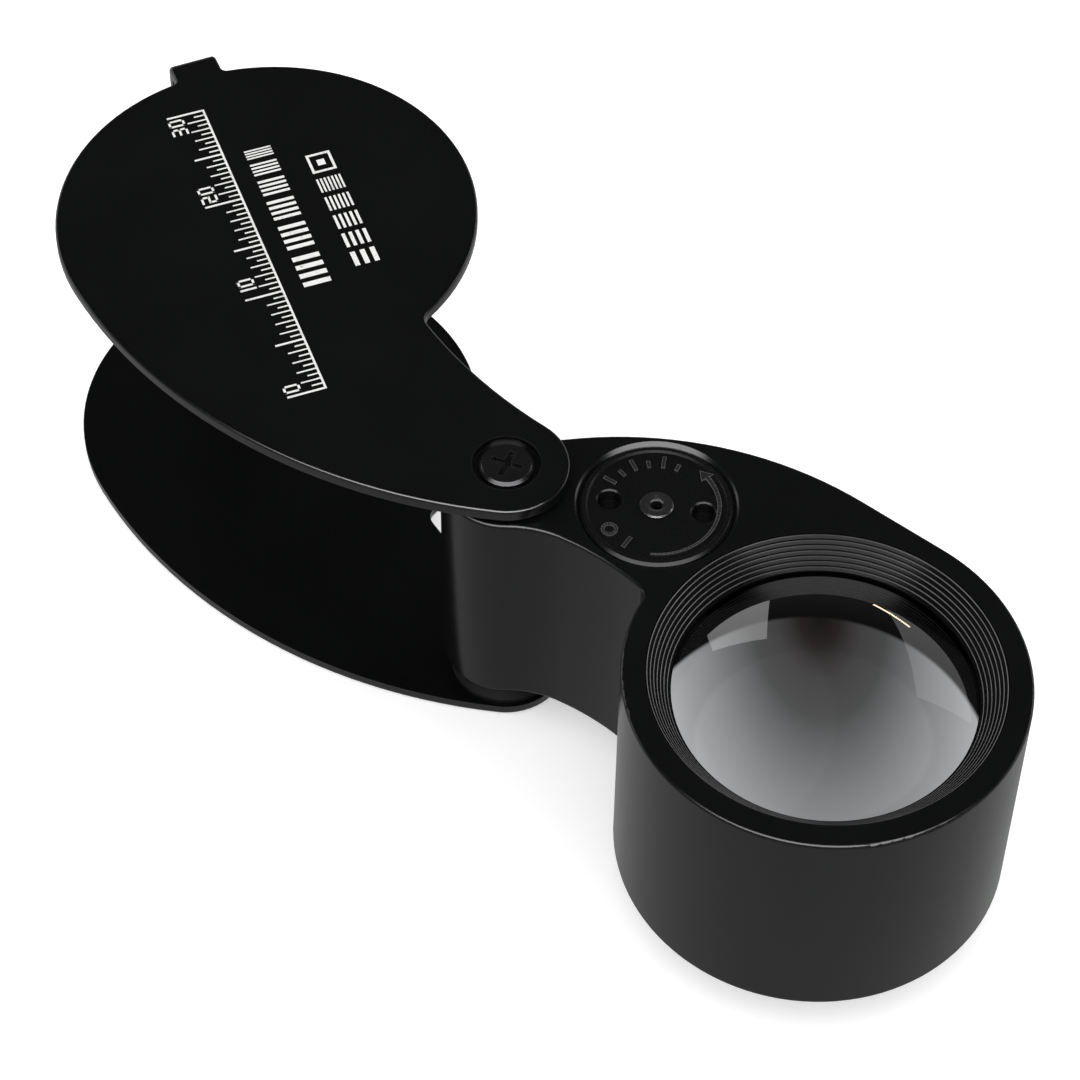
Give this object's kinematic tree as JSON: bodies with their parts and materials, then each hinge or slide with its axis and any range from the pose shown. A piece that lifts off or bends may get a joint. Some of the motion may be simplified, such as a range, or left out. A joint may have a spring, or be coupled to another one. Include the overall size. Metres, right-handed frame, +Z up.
{
  "type": "folding illuminated loupe",
  "caption": "Folding pocket loupe with a domed lens in a black barrel, a screw-in lamp cap on its arm and a bent-sheet cover that swings out on a pivot.",
  "frame": {"origin": "barrel axis, in the plane of the barrel's foot rim", "axes": "+Z up along the optical axis towards the eye, -X along the arm to the cover pivot; the cover is folded out"},
  "size_m": [0.0876, 0.0376, 0.0239],
  "materials": {
    "black_paint": "satin black paint",
    "ring_black": "matt black, finely grooved",
    "lens_glass": "clear, coated",
    "spacer_black": "black anodised",
    "lamp_clear": "clear lamp dome",
    "brass": "plain brass",
    "wire_tin": "tinned wire",
    "spring_steel": "spring steel",
    "cell_steel": "nickel-plated steel",
    "sleeve_plastic": "natural plastic",
    "cap_black": "satin black paint",
    "screw_black": "blackened steel",
    "washer_nylon": "black plastic"
  },
  "bodies": {
    "housing": {"housing": "black_paint", "eye_ring": "ring_black", "eye_lens": "lens_glass", "flint_lens": "lens_glass", "lens_spacer": "spacer_black", "field_lens": "lens_glass", "field_ring": "spacer_black", "lamp_bulb": "lamp_clear", "lamp_bezel": "brass", "lamp_lead_plus": "wire_tin", "lamp_lead_ground": "wire_tin", "bottom_contact": "brass", "battery_spring": "spring_steel", "coin_cell_lower": "cell_steel", "coin_cell_middle": "cell_steel", "coin_cell_upper": "cell_steel", "battery_sleeve": "sleeve_plastic", "bottom_plug": "cap_black", "pivot_sleeve": "brass", "top_pivot_screw": "screw_black", "bottom_pivot_screw": "screw_black", "top_washer": "washer_nylon", "bottom_spring_washer": "spring_steel"},
    "cover": {"cover": "black_paint"},
    "cap": {"light_cap": "cap_black", "cap_eyelet": "screw_black", "cap_contact_spring": "spring_steel"}
  },
  "joints": [
    {"name": "cover_fold", "type": "hinge", "parent": "housing", "child": "cover", "pos_m": [-0.02787, 0, 0], "axis": [0, 0, 1], "range_deg": [-165.7, 14.3]},
    {"name": "light_cap_turn", "type": "hinge", "parent": "housing", "child": "cap", "pos_m": [-0.01803, 0.0046, 0], "axis": [0, 0, 1], "range_deg": [-90, 0]}
  ]
}
